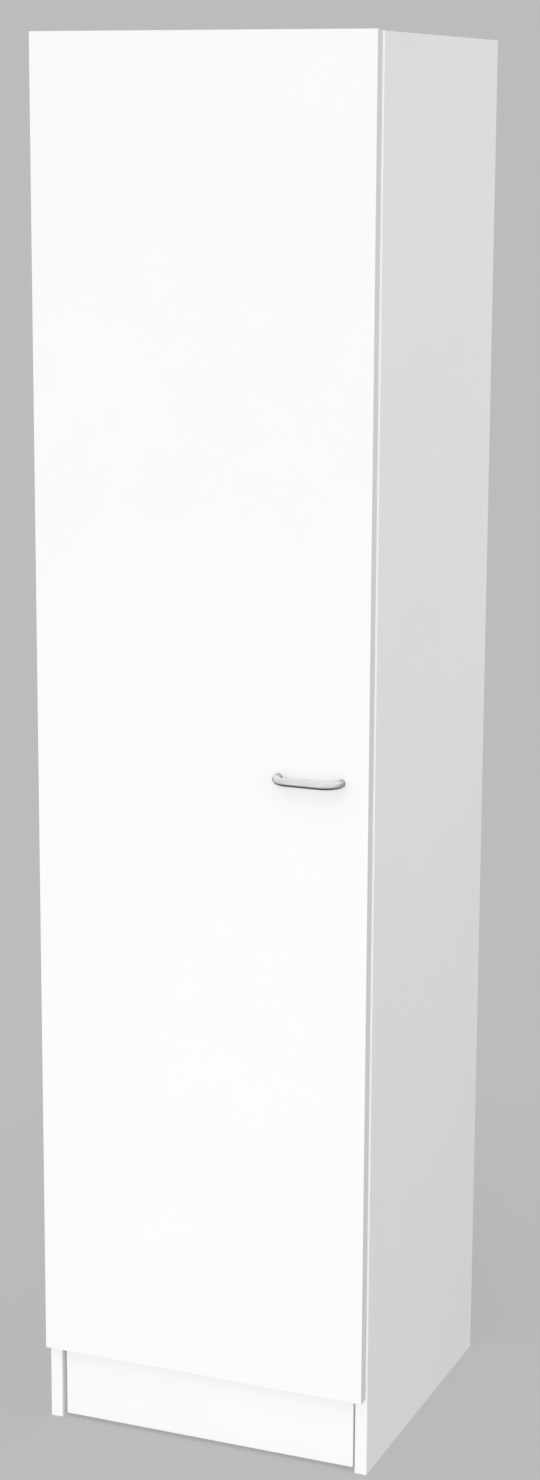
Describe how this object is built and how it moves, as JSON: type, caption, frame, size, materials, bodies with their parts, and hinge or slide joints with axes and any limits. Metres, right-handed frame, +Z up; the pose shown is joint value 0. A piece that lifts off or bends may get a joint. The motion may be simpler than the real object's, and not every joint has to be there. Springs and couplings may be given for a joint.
{
  "type": "tall cupboard",
  "caption": "Tall narrow white cupboard with a full-height overlay door, bow handle, recessed plinth and inner shelves.",
  "frame": {"origin": "on the floor under the middle of the whole cupboard's box, handle included", "axes": "+Z up, the door faces -Y, the hinges are on the -X side"},
  "size_m": [0.5, 0.5246, 2.002],
  "materials": {
    "board": "smooth white melamine foil, matt",
    "edge_band": "white plastic band, satin",
    "back_sheet": "white painted fibreboard, matt",
    "white_plastic": "moulded, satin",
    "zinc": "zinc plated and pressed, satin",
    "nickel": "nickel plated, glossy",
    "handle_metal": "satin",
    "beech": "bare turned beech",
    "grey_plastic": "soft clear-grey plastic, matt"
  },
  "bodies": {
    "carcass": {"side_panel_left": "board", "side_panel_right": "board", "top_panel": "board", "bottom_panel": "board", "fixed_shelf": "board", "adjustable_shelf_1": "board", "adjustable_shelf_2": "board", "adjustable_shelf_3": "board", "adjustable_shelf_4": "board", "plinth_panel": "board", "side_edge_band_left": "edge_band", "side_edge_band_right": "edge_band", "panel_edge_bands": "edge_band", "shelf_edge_bands": "edge_band", "plinth_end_bands": "edge_band", "back_panel_lower": "back_sheet", "back_panel_upper": "back_sheet", "back_joint_strip": "white_plastic", "cam_covers": "white_plastic", "shelf_pins": "white_plastic", "cam_locks": "zinc", "cam_bolts": "zinc", "back_nails": "zinc", "wall_bracket_left": "zinc", "wall_bracket_right": "zinc", "wall_bracket_screws": "zinc", "plinth_bracket_left": "zinc", "plinth_bracket_right": "zinc", "plinth_screws": "zinc", "hinge_plate_screws": "zinc", "hinge_plate_1": "nickel", "hinge_arm_1": "nickel", "hinge_plate_2": "nickel", "hinge_arm_2": "nickel", "hinge_plate_3": "nickel", "hinge_arm_3": "nickel", "hinge_plate_4": "nickel", "hinge_arm_4": "nickel", "hinge_fixing_screws": "nickel", "hinge_side_screws": "nickel", "wood_dowels": "beech"},
    "door": {"door_panel": "board", "door_edge_bands": "edge_band", "door_bumpers": "grey_plastic", "handle": "handle_metal", "handle_screws": "zinc", "hinge_cup_1": "nickel", "hinge_cup_2": "nickel", "hinge_cup_3": "nickel", "hinge_cup_4": "nickel", "hinge_pins": "nickel", "hinge_cup_screws": "zinc"}
  },
  "joints": [
    {"name": "door_swing", "type": "hinge", "parent": "carcass", "child": "door", "pos_m": [-0.2417, -0.22275, 1], "axis": [0, 0, -1], "range_deg": [0, 95]}
  ]
}
